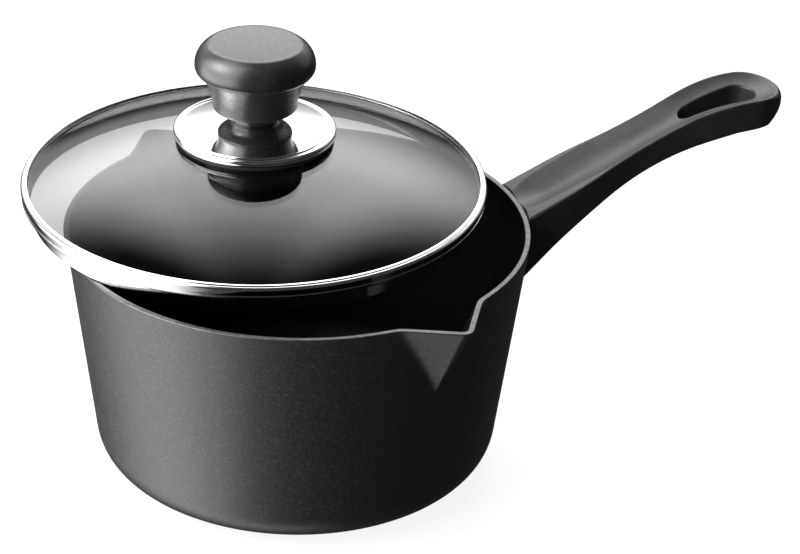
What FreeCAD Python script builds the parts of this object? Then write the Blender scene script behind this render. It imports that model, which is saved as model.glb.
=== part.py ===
import FreeCAD, Part
import math
import os
import re

import Sketcher
from FreeCAD import Placement, Rotation, Vector

# Saucepan with a glass lid, in millimetres. The origin is the centre of the flat base, +Z is up and
# the handle points along +X. The lid lies askew on the rim, pushed back and away from the handle.

SHEET_PREFIX = "Dimensions."

DIMENSIONS = {
    # Pan: an outer cone from base to rim, and a thinner wall towards the rim.
    "rim_radius": 93,
    "pan_height": 100.5,
    "base_radius": 80.5,
    "base_round": 15.5,
    "rim_wall": 2.3,
    "low_wall": 3.6,
    "floor_thickness": 5,
    "inner_round": 13,
    "rim_edge_round": 0.45,
    # Pouring spouts: a triangle at rim height that shrinks to a point on the wall.
    "spout_turn": -69,
    "spout_tip": 109.6,
    "spout_half_angle": 47.6,
    "spout_root": 74,
    "spout_depth": 34.5,
    "spout_tip_round": 4.6,
    "spout_inner_round": 2.6,
    "spout_wall": 3.25,
    # Cast lug that carries the handle, a wedge seen from the side.
    "lug_width": 14,
    "lug_start": 84,
    "lug_end": 120,
    "lug_fit": 0.25,
    "lug_root_low": -25,
    "lug_root_high": -10.6,
    "lug_tip_low": 5,
    "lug_tip_high": 9.4,
    # Handle, side view: heights are measured from the rim plane.
    "grip_start": 84,
    "grip_drop": 4.2,
    "grip_rise": 26,
    "grip_straight": 84,
    "grip_shoulder_radius": 80,
    "grip_tail_radius": 150,
    "grip_tail_turn": 3.4,
    "grip_nose": 205.2,
    "grip_nose_height": 34.6,
    "grip_heel": 196,
    "grip_heel_height": 27.7,
    "grip_belly_end": 183,
    "grip_belly_height": 26.2,
    "grip_belly_radius": 165,
    "grip_belly_start": 100,
    "grip_belly_drop": 19.5,
    "grip_root_drop": 35.5,
    "grip_blank_width": 44,
    # Handle, plan view.
    "grip_root_half": 16.8,
    "grip_shoulder": 108,
    "grip_shoulder_half": 16.2,
    "grip_waist_start": 126,
    "grip_waist_start_half": 14.4,
    "grip_waist_end": 168,
    "grip_waist_end_half": 13.7,
    "grip_waist_curve": 130,
    "grip_side_curve": 114,
    "grip_tail_curve": 153.5,
    "grip_tail_half": 15.3,
    "grip_length": 205.4,
    "wall_gap": 0.2,
    "grip_top_round": 1.2,
    "grip_low_round": 2.6,
    "dish_radius": 30,
    "dish_depth": 2.2,
    "dish_start": 24.2,
    "dish_tail_turn": 2,
    "slot_start": 161.5,
    "slot_end": 194.3,
    "slot_narrow": 4.6,
    "slot_wide": 7.5,
    # Leaf spring on the lug.
    "spring_width": 8,
    "spring_depth": 1.17,
    "spring_start": 97,
    "spring_length": 20,
    "spring_lift": 0.1,
    # Lid: heights are measured from the lower edge of its skirt.
    "lid_x": -12.15,
    "lid_y": 23.25,
    "lid_gap": 0.3,
    "band_radius": 93.9,
    "skirt_radius": 90.3,
    "band_sheet": 0.7,
    "band_low": 6,
    "band_high": 11.8,
    "lip_radius": 91.3,
    "glass_radius": 91.9,
    "glass_crown": 32.2,
    "glass_curve": 207.2,
    "glass_gauge": 3.5,
    "glass_hole": 6,
    "seal_gap": 0.1,
    # Knob stack.
    "disc_radius": 32.6,
    "disc_low": 30.8,
    "disc_cone_radius": 29.8,
    "disc_cone_low": 34.3,
    "disc_cone_high": 37.9,
    "disc_sheet": 1,
    "disc_curve": 160,
    "knob_stem": 9.2,
    "knob_neck_height": 41.9,
    "knob_tier_radius": 16.9,
    "knob_crease_radius": 21.3,
    "knob_crease_height": 57.7,
    "knob_radius": 24.1,
    "knob_wide_height": 61.4,
    "knob_top_radius": 18.1,
    "knob_top": 70.4,
    "knob_dish": 0.5,
    "knob_flat_radius": 2,
    "insert_radius": 4.4,
    "insert_length": 13,
    "screw_radius": 2.5,
    "screw_head_radius": 4.6,
    "screw_head_height": 2.8,
    "boss_radius": 19.5,
    "boss_low": 13.1,
    "boss_high": 26.8,
    "boss_recess_radius": 7,
    "boss_recess_depth": 5.6,
    "washer_radius": 6,
    "washer_gauge": 1,
    "split_gap": 0.7,
}

doc = FreeCAD.newDocument("Saucepan")
sheet = doc.addObject("Spreadsheet::Sheet", "Dimensions")
for row, (alias, value) in enumerate(DIMENSIONS.items(), start=1):
    sheet.set(f"A{row}", alias)
    sheet.set(f"B{row}", str(value))
    sheet.setAlias(f"B{row}", alias)
doc.recompute()


def linked(formula):
    """The formula with every alias written as a reference to the sheet."""

    def reference(word):
        return SHEET_PREFIX + word[0] if word[0] in DIMENSIONS else word[0]

    return re.sub(r"[a-z][a-z_]*", reference, formula)


def size(formula):
    """The value of a formula of aliases, in millimetres or degrees."""
    return float(sheet.evalExpression(formula))


# ---------------------------------------------------------------- helpers

NEAR = 0.01

def new_body(name):
    body = doc.addObject("PartDesign::Body", name)
    body.Label = name
    return body


def origin_plane(body, role):
    return next(item for item in body.Origin.OriginFeatures if item.Role == role)


def new_sketch(body, name, role="XZ_Plane", height=None, turn=None):
    """A sketch on one of the body's origin planes, raised by a formula and turned about its normal."""
    sketch = body.newObject("Sketcher::SketchObject", name)
    sketch.AttachmentSupport = [(origin_plane(body, role), "")]
    sketch.MapMode = "FlatFace"
    if height:
        sketch.setExpression("AttachmentOffset.Base.z", linked(height))
    if turn:
        about_normal = Rotation(Vector(0, 0, 1), size(turn))
        sketch.AttachmentOffset = Placement(Vector(0, 0, size(height)), about_normal)
    return sketch


def arc_between(start, end, radius):
    """The short arc from start to end; a positive radius bulges to the right of the way along it."""
    chord = end - start
    half = chord.Length / 2
    side = Vector(-chord.y, chord.x, 0).normalize() * (1 if radius > 0 else -1)
    centre = start + chord / 2 + side * math.sqrt(max(0, radius**2 - half**2))
    crown = centre - side * abs(radius)
    return Part.Arc(start, crown, end)


def draw_outline(sketch, corners):
    """Draw a closed outline of (across, up) or (across, up, radius) corners, each size a formula.

    A radius bends the edge that leaves its corner. Corners on the sketch's upright axis have "0" across.
    """
    points = [Vector(size(corner[0]), size(corner[1]), 0) for corner in corners]
    count = len(corners)
    first = sketch.GeometryCount
    for i, corner in enumerate(corners):
        start, end = points[i], points[(i + 1) % count]
        if len(corner) == 3:
            sketch.addGeometry(arc_between(start, end, size(corner[2])), False)
        else:
            sketch.addGeometry(Part.LineSegment(start, end), False)
    ends = [curve_ends(sketch, first + i, points[i]) for i in range(count)]
    for i in range(count):
        before = (i - 1) % count
        add_rule(sketch, "Coincident", first + before, ends[before][1], first + i, ends[i][0])
    for i, corner in enumerate(corners):
        place_corner(sketch, first + i, ends[i][0], corner, points[i])
        if len(corner) == 3:
            number = add_rule(sketch, "Radius", first + i, abs(size(corner[2])))
            sketch.setExpression(f"Constraints[{number}]", linked(f"abs({corner[2]})"))


def curve_ends(sketch, index, start):
    """Sketch point numbers (first, last) of a curve that is drawn from start."""
    near_one = sketch.getPoint(index, 1).distanceToPoint(start)
    near_two = sketch.getPoint(index, 2).distanceToPoint(start)
    return (1, 2) if near_one < near_two else (2, 1)


def place_corner(sketch, index, end, corner, point):
    """Tie a corner's two distances from the sketch's centre to their formulas."""
    across = ("DistanceX", -2, corner[0], point.x)
    up = ("DistanceY", -1, corner[1], point.y)
    for kind, axis, formula, value in (across, up):
        if formula == "0":
            add_rule(sketch, "PointOnObject", index, end, axis)
            continue
        number = add_rule(sketch, kind, -1, 1, index, end, value)
        sketch.setExpression(f"Constraints[{number}]", linked(formula))


def add_rule(sketch, *rule):
    return sketch.addConstraint(Sketcher.Constraint(*rule))


def spin(body, name, sketch, kind="PartDesign::Revolution"):
    """Turn a sketch a full circle about its upright axis, to add or to cut."""
    feature = body.newObject(kind, name)
    feature.Profile = sketch
    feature.ReferenceAxis = (sketch, ["V_Axis"])
    feature.Angle = 360
    doc.recompute()
    return feature


def outline_sketch(body, name, corners, **place):
    sketch = new_sketch(body, name, **place)
    draw_outline(sketch, corners)
    return sketch


def turned_body(name, corners):
    """A piece turned on a lathe from one outline of (radius, height) corners."""
    body = new_body(name)
    spin(body, name + "_turning", outline_sketch(body, name + "_outline", corners))
    return body


def groove(body, name, corners):
    return spin(body, name, outline_sketch(body, name + "_outline", corners), "PartDesign::Groove")


def slab(body, name, sketch, length, kind="PartDesign::Pad"):
    """A pad or pocket that reaches half its length to each side of the sketch."""
    feature = body.newObject(kind, name)
    feature.Profile = sketch
    feature.SideType = "Symmetric"
    feature.setExpression("Length", linked(length))
    doc.recompute()
    return feature


def round_edges(body, name, base, radius, wanted):
    """Round the edges of a feature that wanted() picks."""
    names = [f"Edge{i}" for i, edge in enumerate(base.Shape.Edges, start=1) if wanted(edge)]
    feature = body.newObject("PartDesign::Fillet", name)
    feature.Base = (base, names)
    feature.setExpression("Radius", linked(radius))
    doc.recompute()
    return feature


def ring_at(radius, height):
    """A test that finds the full circle about +Z of this radius at this height."""

    def found(edge):
        curve = edge.Curve
        return (
            isinstance(curve, Part.Circle)
            and abs(curve.Radius - size(radius)) < NEAR
            and abs(curve.Center.z - size(height)) < NEAR
            and edge.isClosed()
        )

    return found


def on_rim(edge):
    """True for an edge that lies wholly in the rim's plane."""
    return edge.BoundBox.ZMin > size("pan_height") - NEAR


# ---------------------------------------------------------------- pan

WALL_SLOPE = "(rim_radius - base_radius) / pan_height"
SPOUT_POINT = f"(rim_radius - {WALL_SLOPE} * spout_depth)"
SPOUT_SEED = 0.03
SPOUT_OVERCUT = 1.04


def spout_section(body, name, part, inset, tip_round):
    """One level of a spout: the rim triangle, shrunk to a part of its size about a point on the wall."""
    centre = f"(spout_tip - {inset} - {tip_round} / sin(spout_half_angle))"
    root_half = "(spout_tip - spout_root) * tan(spout_half_angle)"
    tangent = (f"{centre} + {tip_round} * sin(spout_half_angle)", f"{tip_round} * cos(spout_half_angle)")
    root = (f"spout_root - {inset}", root_half)
    point = f"({SPOUT_POINT} - {inset})"

    def scaled(across, along, side):
        return f"{point} + {part} * ({across} - {point})", f"{side} * {part} * {along}"

    corners = [
        scaled(*root, -1),
        (*scaled(*tangent, -1), f"{part} * {tip_round}"),
        scaled(*tangent, 1),
        scaled(*root, 1),
    ]
    height = f"pan_height - spout_depth * (1 - {part})"
    return outline_sketch(body, name, corners, role="XY_Plane", height=height, turn="spout_turn")


def spout_pair(body, name, kind, largest, inset, tip_round):
    """Two opposite spouts, added to or cut from the pan as straight-sided lofts."""
    top = spout_section(body, name + "_top", largest, inset, tip_round)
    low = spout_section(body, name + "_low", SPOUT_SEED, inset, tip_round)
    loft = body.newObject(kind, name)
    loft.Profile = top
    loft.Sections = [low]
    loft.Ruled = True
    doc.recompute()
    pair = body.newObject("PartDesign::PolarPattern", name + "_pair")
    pair.Originals = [loft]
    pair.Axis = (top, ["N_Axis"])
    pair.Angle = 360
    pair.Occurrences = 2
    body.Tip = pair
    doc.recompute()
    return pair


def pan_body():
    body = new_body("pan_body")
    blank = spin(
        body,
        "pan_blank",
        outline_sketch(
            body,
            "pan_blank_outline",
            [
                ("0", "0"),
                ("base_radius", "0"),
                ("rim_radius", "pan_height"),
                ("0", "pan_height"),
            ],
        ),
    )
    round_edges(body, "base_rounding", blank, "base_round", ring_at("base_radius", "0"))
    spout_pair(body, "spout", "PartDesign::AdditiveLoft", 1, 0, "spout_tip_round")
    lug = outline_sketch(body, "lug_outline", lug_corners("0"))
    slab(body, "lug", lug, "lug_width")
    groove(
        body,
        "inside",
        [
            ("0", "floor_thickness"),
            ("base_radius - low_wall", "floor_thickness"),
            ("rim_radius - rim_wall", "pan_height"),
            ("rim_radius - rim_wall", "2 * pan_height"),
            ("0", "2 * pan_height"),
        ],
    )
    hollow = spout_pair(
        body,
        "spout_channel",
        "PartDesign::SubtractiveLoft",
        SPOUT_OVERCUT,
        "spout_wall",
        "spout_inner_round",
    )
    floor_edge = ring_at("base_radius - low_wall", "floor_thickness")
    inner = round_edges(body, "inside_rounding", hollow, "inner_round", floor_edge)
    round_edges(body, "rim_rounding", inner, "rim_edge_round", on_rim)
    return body


def lug_corners(play):
    """Side view of the cast lug, with play all round for the socket that slides over it."""
    return [
        ("lug_start", f"pan_height + lug_root_low - {play}"),
        (f"lug_end + {play}", f"pan_height + lug_tip_low - {play}"),
        (f"lug_end + {play}", f"pan_height + lug_tip_high + {play}"),
        ("lug_start", f"pan_height + lug_root_high + {play}"),
    ]


# ---------------------------------------------------------------- handle

STRAIGHT_END = (
    "(grip_start + grip_straight * cos(grip_rise))",
    "(pan_height - grip_drop + grip_straight * sin(grip_rise))",
)
PEAK = (
    f"({STRAIGHT_END[0]} + grip_shoulder_radius * sin(grip_rise))",
    f"({STRAIGHT_END[1]} + grip_shoulder_radius * (1 - cos(grip_rise)))",
)
TAIL_END = (
    f"({PEAK[0]} + grip_tail_radius * sin(grip_tail_turn))",
    f"({PEAK[1]} - grip_tail_radius * (1 - cos(grip_tail_turn)))",
)


def grip_side():
    """Side view of the grip: arched belly, pointed nose, hump and straight rise."""
    return [
        ("grip_start", "pan_height - grip_root_drop"),
        ("grip_belly_start", "pan_height - grip_belly_drop", "0 - grip_belly_radius"),
        ("grip_belly_end", "pan_height + grip_belly_height"),
        ("grip_heel", "pan_height + grip_heel_height"),
        ("grip_nose", "pan_height + grip_nose_height"),
        (*TAIL_END, "grip_tail_radius"),
        (*PEAK, "grip_shoulder_radius"),
        STRAIGHT_END,
        ("grip_start", "pan_height - grip_drop"),
    ]


def grip_plan():
    """Plan of the grip: wide root, narrow waist and round tail, the same on both sides."""
    near = [
        ("grip_start", "0 - grip_root_half"),
        ("grip_shoulder", "0 - grip_shoulder_half", "grip_side_curve"),
        ("grip_waist_start", "0 - grip_waist_start_half", "0 - grip_waist_curve"),
        ("grip_waist_end", "0 - grip_waist_end_half", "grip_tail_curve"),
        ("grip_length - grip_tail_half", "0 - grip_tail_half", "grip_tail_half"),
    ]
    return near + [
        ("grip_length", "0", "grip_tail_half"),
        ("grip_length - grip_tail_half", "grip_tail_half", "grip_tail_curve"),
        ("grip_waist_end", "grip_waist_end_half", "0 - grip_waist_curve"),
        ("grip_waist_start", "grip_waist_start_half", "grip_side_curve"),
        ("grip_shoulder", "grip_shoulder_half"),
        ("grip_start", "grip_root_half"),
    ]


def slot_plan():
    """Plan of the hanging slot: a teardrop with its wide end at the tail."""
    narrow = "slot_start + slot_narrow"
    wide = "slot_end - slot_wide"
    return [
        (narrow, "0 - slot_narrow"),
        (wide, "0 - slot_wide", "slot_wide"),
        ("slot_end", "0", "slot_wide"),
        (wide, "slot_wide"),
        (narrow, "slot_narrow", "slot_narrow"),
        ("slot_start", "0", "slot_narrow"),
    ]


def frame_corners():
    """A rectangle well outside the grip's plan."""
    across = "grip_blank_width / 2 + 2"
    return [
        ("grip_start - 2", f"0 - ({across})"),
        ("grip_length + 8", f"0 - ({across})"),
        ("grip_length + 8", across),
        ("grip_start - 2", across),
    ]


def through_pocket(body, name, sketch):
    """A pocket that runs right through, up and down from its sketch."""
    return slab(body, name, sketch, "4 * pan_height", "PartDesign::Pocket")


def beside(lines):
    """A test that finds the grip's side edges along these lines of its side view."""

    def found(edge):
        middle = edge.valueAt((edge.FirstParameter + edge.LastParameter) / 2)
        flat = Part.Vertex(middle.x, 0, middle.z)
        box = edge.BoundBox
        upright = box.XLength + box.YLength < NEAR
        across = box.XLength + box.ZLength < NEAR
        near = min(line.distToShape(flat)[0] for line in lines) < 2 * NEAR
        return near and not upright and not across and box.XMin > size("grip_start") + NEAR

    return found


def above_straight(along, up):
    """A point over the grip's straight top: along it from the root, then square to it."""
    return (
        f"grip_start + {along} * cos(grip_rise) - {up} * sin(grip_rise)",
        f"pan_height - grip_drop + {along} * sin(grip_rise) + {up} * cos(grip_rise)",
    )


def arc_about(centre, radius, start_turn, end_turn):
    """An arc about a centre between two directions, in degrees up from the sketch's level axis."""
    turns = (start_turn, (start_turn + end_turn) / 2, end_turn)
    angles = [math.radians(turn) for turn in turns]
    return Part.Arc(*[centre + radius * Vector(math.cos(angle), math.sin(angle), 0) for angle in angles])


def dish_path(body):
    """Centre line of the scoop that dishes the top: it keeps one distance from the straight and the hump."""
    lift = size("dish_radius - dish_depth")
    start_place = above_straight("dish_start", "(dish_radius - dish_depth)")
    start = Vector(size(start_place[0]), size(start_place[1]), 0)
    peak = Vector(size(PEAK[0]), size(PEAK[1]), 0)
    hump = size("grip_shoulder_radius")
    turns = 90 + size("grip_rise"), 90 + size("dish_tail_turn")
    over_hump = arc_about(peak - Vector(0, hump, 0), hump + lift, *turns)
    sketch = new_sketch(body, "dish_path")
    for line in (Part.LineSegment(start, over_hump.toShape().Vertexes[0].Point), over_hump):
        sketch.addGeometry(line, False)
    doc.recompute()
    end = over_hump.toShape().Vertexes[-1].Point
    return sketch, Vector(start.x, 0, start.y), Vector(end.x, 0, end.y)


def scoop_ball(body, name, centre):
    """The round end of the dish, cut by a ball about one end of its centre line."""
    ball = body.newObject("PartDesign::SubtractiveSphere", name)
    ball.AttachmentOffset = Placement(centre, Rotation())
    ball.AttachmentSupport = [(origin_plane(body, "XY_Plane"), "")]
    ball.MapMode = "FlatFace"
    ball.setExpression("Radius", linked("dish_radius"))
    doc.recompute()


def handle_grip():
    body = new_body("handle_grip")
    side = outline_sketch(body, "grip_side", grip_side())
    slab(body, "grip_blank", side, "grip_blank_width")
    plan = outline_sketch(body, "grip_plan", grip_plan(), role="XY_Plane")
    draw_outline(plan, frame_corners())
    shaped = through_pocket(body, "grip_trim", plan)
    lines = side.Shape.Edges
    low = round_edges(body, "grip_low_rounding", shaped, "grip_low_round", beside(lines[:3]))
    round_edges(body, "grip_top_rounding", low, "grip_top_round", beside(lines[5:8]))
    path, first, last = dish_path(body)
    circle = body.newObject("Sketcher::SketchObject", "dish_section")
    circle.AttachmentSupport = [(path, "Edge1")]
    circle.MapMode = "NormalToEdge"
    circle.addGeometry(Part.Circle(Vector(0, 0, 0), Vector(0, 0, 1), size("dish_radius")), False)
    doc.recompute()
    pipe = body.newObject("PartDesign::SubtractivePipe", "dish")
    pipe.Profile = circle
    pipe.Spine = path
    doc.recompute()
    scoop_ball(body, "dish_root", first)
    scoop_ball(body, "dish_tail", last)
    slot = outline_sketch(body, "slot_plan", slot_plan(), role="XY_Plane")
    through_pocket(body, "hanging_slot", slot)
    groove(
        body,
        "wall_clearance",
        [
            ("0", "0"),
            ("base_radius + wall_gap", "0"),
            ("rim_radius + wall_gap", "pan_height"),
            ("rim_radius + wall_gap", "2 * pan_height"),
            ("0", "2 * pan_height"),
        ],
    )
    socket = outline_sketch(body, "socket_outline", lug_corners("lug_fit"))
    slab(body, "socket", socket, "lug_width + 2 * lug_fit", "PartDesign::Pocket")
    channel = outline_sketch(body, "spring_channel_outline", spring_corners("lug_fit"))
    slab(body, "spring_channel", channel, "spring_width + 2 * lug_fit", "PartDesign::Pocket")
    return body


def spring_corners(play):
    """Side view of the leaf spring, which lies along the underside of the lug."""
    slope = "(lug_tip_low - lug_root_low) / (lug_end - lug_start)"
    depth = "spring_depth"
    end = "(spring_start + spring_length)"

    def under(across, drop):
        return across, f"pan_height + lug_root_low + {slope} * ({across} - lug_start) - {drop}"

    return [
        under(f"(spring_start - {play})", f"({depth} + 2 * {play})"),
        under(f"({end} + {play})", f"({depth} + 2 * {play})"),
        under(f"({end} + {play})", "spring_lift"),
        under(f"(spring_start - {play})", "spring_lift"),
    ]


def handle_spring_lock():
    body = new_body("handle_spring_lock")
    outline = outline_sketch(body, "spring_outline", spring_corners("0"))
    slab(body, "spring_strip", outline, "spring_width")
    return body


# ---------------------------------------------------------------- lid

GLASS_CENTRE = "(glass_crown - glass_curve)"


def glass_top(radius):
    """Height of the dome's outer face at a radius."""
    return f"({GLASS_CENTRE} + sqrt(glass_curve ^ 2 - ({radius}) ^ 2))"


def glass_under(radius, gap="0"):
    """Height of the dome's inner face at a radius, or of a concentric face a gap below it."""
    return f"({GLASS_CENTRE} + sqrt((glass_curve - glass_gauge - {gap}) ^ 2 - ({radius}) ^ 2))"


def seat_on_lid(body):
    """Stand a piece of the lid on the rim, off centre, with a hair's gap under the skirt."""
    body.setExpression("Placement.Base.x", linked("lid_x"))
    body.setExpression("Placement.Base.y", linked("lid_y"))
    body.setExpression("Placement.Base.z", linked("pan_height + lid_gap"))


def lid_glass():
    return turned_body(
        "lid_glass",
        [
            ("glass_hole", glass_under("glass_hole"), "0 - (glass_curve - glass_gauge)"),
            ("glass_radius", glass_under("glass_radius")),
            ("glass_radius", glass_top("glass_radius"), "glass_curve"),
            ("glass_hole", glass_top("glass_hole")),
        ],
    )


def lid_rim_band():
    return turned_body(
        "lid_rim_band",
        [
            ("skirt_radius - band_sheet", "0"),
            ("skirt_radius", "0"),
            ("skirt_radius", "band_low"),
            ("band_radius - 1", "band_low", "0.6 * band_sheet + 0.6"),
            ("band_radius - 0.3", "band_low + band_sheet"),
            ("band_radius", "band_high - 1.2", "1.3"),
            ("band_radius - 1.2", "band_high"),
            ("lip_radius", "band_high"),
            ("lip_radius", "band_high - band_sheet"),
            ("band_radius - 1.3", "band_high - band_sheet", "0 - 0.8"),
            ("band_radius - band_sheet", "band_high - 1.4"),
            ("band_radius - band_sheet - 0.3", "band_low + band_sheet"),
            ("skirt_radius - band_sheet", "band_low + band_sheet"),
        ],
    )


def glass_edge_seal():
    inner = "glass_radius + seal_gap"
    outer = "band_radius - band_sheet - 0.4"
    low = "band_low + band_sheet + seal_gap"
    return turned_body(
        "glass_edge_seal",
        [(inner, low), (outer, low), (outer, "band_high - 1.5"), (inner, "band_high - 1.5")],
    )


def knob_disc():
    return turned_body(
        "knob_disc",
        [
            ("screw_radius + 0.5", "disc_cone_high - disc_sheet"),
            ("knob_stem", "disc_cone_high - disc_sheet", "0 - disc_curve"),
            ("disc_cone_radius - 0.3", "disc_cone_low - disc_sheet"),
            ("disc_radius - disc_sheet", "disc_cone_low - 1.6"),
            ("disc_radius - disc_sheet", "disc_low"),
            ("disc_radius", "disc_low"),
            ("disc_radius", "disc_cone_low - 1", "1"),
            ("disc_radius - 1", "disc_cone_low", "1.2"),
            ("disc_cone_radius + 0.7", "disc_cone_low - 0.35"),
            ("disc_cone_radius", "disc_cone_low", "disc_curve"),
            ("knob_stem + 0.4", "disc_cone_high"),
            ("screw_radius + 0.5", "disc_cone_high"),
        ],
    )


def disc_gasket():
    top = "disc_cone_high - disc_sheet - seal_gap"
    edge = "disc_radius - disc_sheet - seal_gap"
    return turned_body(
        "disc_gasket",
        [
            ("glass_hole", f"{glass_top('glass_hole')} + seal_gap", "0 - glass_curve"),
            (edge, f"{glass_top(edge)} + seal_gap"),
            (edge, "disc_cone_low - 1.9"),
            ("disc_cone_radius - 0.6", "disc_cone_low - disc_sheet - 0.3"),
            ("knob_stem - 0.4", top),
            ("glass_hole", top),
        ],
    )


def knob_head():
    bore_top = "disc_cone_high + insert_length + 0.4"
    dish_across = "(knob_top_radius - knob_flat_radius)"
    dish_curve = f"({dish_across} ^ 2 + knob_dish ^ 2) / (2 * knob_dish)"
    return turned_body(
        "knob_head",
        [
            ("insert_radius + 0.05", "disc_cone_high + 0.05"),
            ("knob_stem", "disc_cone_high + 0.05"),
            ("knob_stem", "knob_neck_height - 2.5", "0 - 5"),
            ("knob_stem + 3.4", "knob_neck_height + 0.3"),
            ("knob_tier_radius - 1.2", "knob_neck_height + 0.9", "1.6"),
            ("knob_tier_radius", "knob_neck_height + 2", "0 - 34"),
            ("knob_crease_radius", "knob_crease_height", "3.8"),
            ("knob_radius", "knob_wide_height", "9.3"),
            ("knob_top_radius", "knob_top", f"0 - {dish_curve}"),
            ("knob_flat_radius", "knob_top - knob_dish"),
            ("0", "knob_top - knob_dish"),
            ("0", bore_top),
            ("insert_radius + 0.05", bore_top),
        ],
    )


def knob_insert():
    return turned_body(
        "knob_insert",
        [
            ("screw_radius + 0.05", "disc_cone_high + 0.1"),
            ("insert_radius", "disc_cone_high + 0.1"),
            ("insert_radius", "disc_cone_high + insert_length"),
            ("screw_radius + 0.05", "disc_cone_high + insert_length"),
        ],
    )


SCREW_SEAT = "(boss_low + boss_recess_depth)"
WASHER_PLAY = "0.05"


def knob_screw():
    under_head = f"({SCREW_SEAT} - 2 * washer_gauge - 3 * {WASHER_PLAY})"
    return turned_body(
        "knob_screw",
        [
            ("0", f"{under_head} - screw_head_height + 1.4"),
            ("1.2", f"{under_head} - screw_head_height + 1.4"),
            ("1.2", f"{under_head} - screw_head_height"),
            ("screw_head_radius - 1.6", f"{under_head} - screw_head_height", "2.4"),
            ("screw_head_radius", f"{under_head} - 0.6"),
            ("screw_head_radius", under_head),
            ("screw_radius", under_head),
            ("screw_radius", "disc_cone_high + insert_length - 1.6"),
            ("screw_radius - 0.6", "disc_cone_high + insert_length - 1"),
            ("0", "disc_cone_high + insert_length - 1"),
        ],
    )


def washer(name, inner, outer, top, gauge):
    low = f"{top} - {gauge}"
    return turned_body(name, [(inner, low), (outer, low), (outer, top), (inner, top)])


def screw_washers():
    hole = "screw_radius + 0.2"
    flat_top = f"({SCREW_SEAT} - {WASHER_PLAY})"
    lock_top = f"({flat_top} - washer_gauge - {WASHER_PLAY})"
    flat = washer("screw_washer", hole, "washer_radius", flat_top, "washer_gauge")
    lock = washer("screw_lock_washer", hole, "screw_head_radius", lock_top, "washer_gauge")
    split = outline_sketch(lock, "split_outline", split_corners(), role="XY_Plane")
    through_pocket(lock, "split", split)
    return flat, lock


def split_corners():
    """The narrow gap of a split washer, on its +X side."""
    out = "screw_head_radius + 1"
    half = "split_gap / 2"
    return [("1", f"0 - {half}"), (out, f"0 - {half}"), (out, half), ("1", half)]


def underside_boss():
    """The moulded cap under the glass: two fine grooves round it, and a recess for the screw head."""
    hole = "screw_radius + 0.3"
    face = "boss_radius"
    grooves = []
    for height in ("boss_low + 4.6", "boss_low + 8.4"):
        grooves += [
            (face, height),
            (f"{face} - 0.5", f"{height} + 0.3"),
            (f"{face} - 0.5", f"{height} + 0.7"),
            (face, f"{height} + 1"),
        ]
    return turned_body(
        "underside_boss",
        [
            (hole, SCREW_SEAT),
            ("boss_recess_radius", SCREW_SEAT),
            ("boss_recess_radius", "boss_low"),
            (f"{face} - 1", "boss_low", "1.2"),
            (face, "boss_low + 0.9"),
            *grooves,
            (face, "boss_high - 0.4"),
            (f"{face} - 0.6", "boss_high"),
            (hole, "boss_high"),
        ],
    )


def boss_gasket():
    edge = "boss_radius - 2"
    return turned_body(
        "boss_gasket",
        [
            ("screw_radius + 0.3", "boss_high + 0.05"),
            (edge, "boss_high + 0.05"),
            (edge, glass_under(edge, "seal_gap"), "glass_curve - glass_gauge - seal_gap"),
            ("screw_radius + 0.3", glass_under("(screw_radius + 0.3)", "seal_gap")),
        ],
    )


# ---------------------------------------------------------------- whole

pan_pieces = [pan_body(), handle_grip(), handle_spring_lock()]
lid_pieces = [
    lid_glass(),
    lid_rim_band(),
    glass_edge_seal(),
    knob_disc(),
    disc_gasket(),
    knob_head(),
    knob_insert(),
    knob_screw(),
    *screw_washers(),
    underside_boss(),
    boss_gasket(),
]
for piece in lid_pieces:
    seat_on_lid(piece)
doc.recompute()

for item in doc.Objects:
    if "Invalid" in item.State or "Error" in item.State:
        raise SystemExit(f"{item.Name} did not build: {item.State}")

os.makedirs("parts", exist_ok=True)
for piece in pan_pieces + lid_pieces:
    shape = piece.Shape
    if shape.isNull() or not shape.isValid() or len(shape.Solids) != 1:
        raise SystemExit(f"{piece.Label} is not one sound solid")
    shape.exportStep(f"parts/{piece.Label}.step")
    print(f"{piece.Label}: {shape.Volume / 1000:.2f} cm3")
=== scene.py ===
import math

import bmesh
import bpy
from mathutils import Matrix, Vector


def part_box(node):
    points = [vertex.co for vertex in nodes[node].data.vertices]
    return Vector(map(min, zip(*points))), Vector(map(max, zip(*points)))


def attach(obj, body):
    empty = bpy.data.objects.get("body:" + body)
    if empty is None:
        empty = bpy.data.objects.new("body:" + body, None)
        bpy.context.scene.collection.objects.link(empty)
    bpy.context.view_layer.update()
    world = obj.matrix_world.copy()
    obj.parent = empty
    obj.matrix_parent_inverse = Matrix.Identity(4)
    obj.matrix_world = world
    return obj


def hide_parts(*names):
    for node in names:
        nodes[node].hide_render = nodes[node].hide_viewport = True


# Saucepan with a glass lid set askew on its rim. Shapes are worked out in millimetres in the
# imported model's frame: the origin is the centre of the base, +Z is up, the handle is along +X.

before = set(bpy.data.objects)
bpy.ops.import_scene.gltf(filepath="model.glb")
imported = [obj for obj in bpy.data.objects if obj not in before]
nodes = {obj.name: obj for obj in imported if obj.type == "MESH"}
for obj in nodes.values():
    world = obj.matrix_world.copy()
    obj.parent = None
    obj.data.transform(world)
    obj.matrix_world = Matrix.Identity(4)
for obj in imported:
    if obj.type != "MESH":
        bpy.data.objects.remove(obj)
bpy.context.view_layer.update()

MM = 0.001
LID_GAP = 0.3


def box_mm(node):
    """Lowest and highest corner of a CAD node, in millimetres."""
    low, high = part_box(node)
    return low / MM, high / MM


band_low, band_high = box_mm("lid_rim_band")
RIM_HEIGHT = band_low.z - LID_GAP
LID_CENTRE = (band_low + band_high) / 2
LID_CENTRE.z = band_low.z



def add_object(name, data):
    thing = bpy.data.objects.new(name, data)
    bpy.context.scene.collection.objects.link(thing)
    return thing


# ---------------------------------------------------------------- camera

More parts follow.
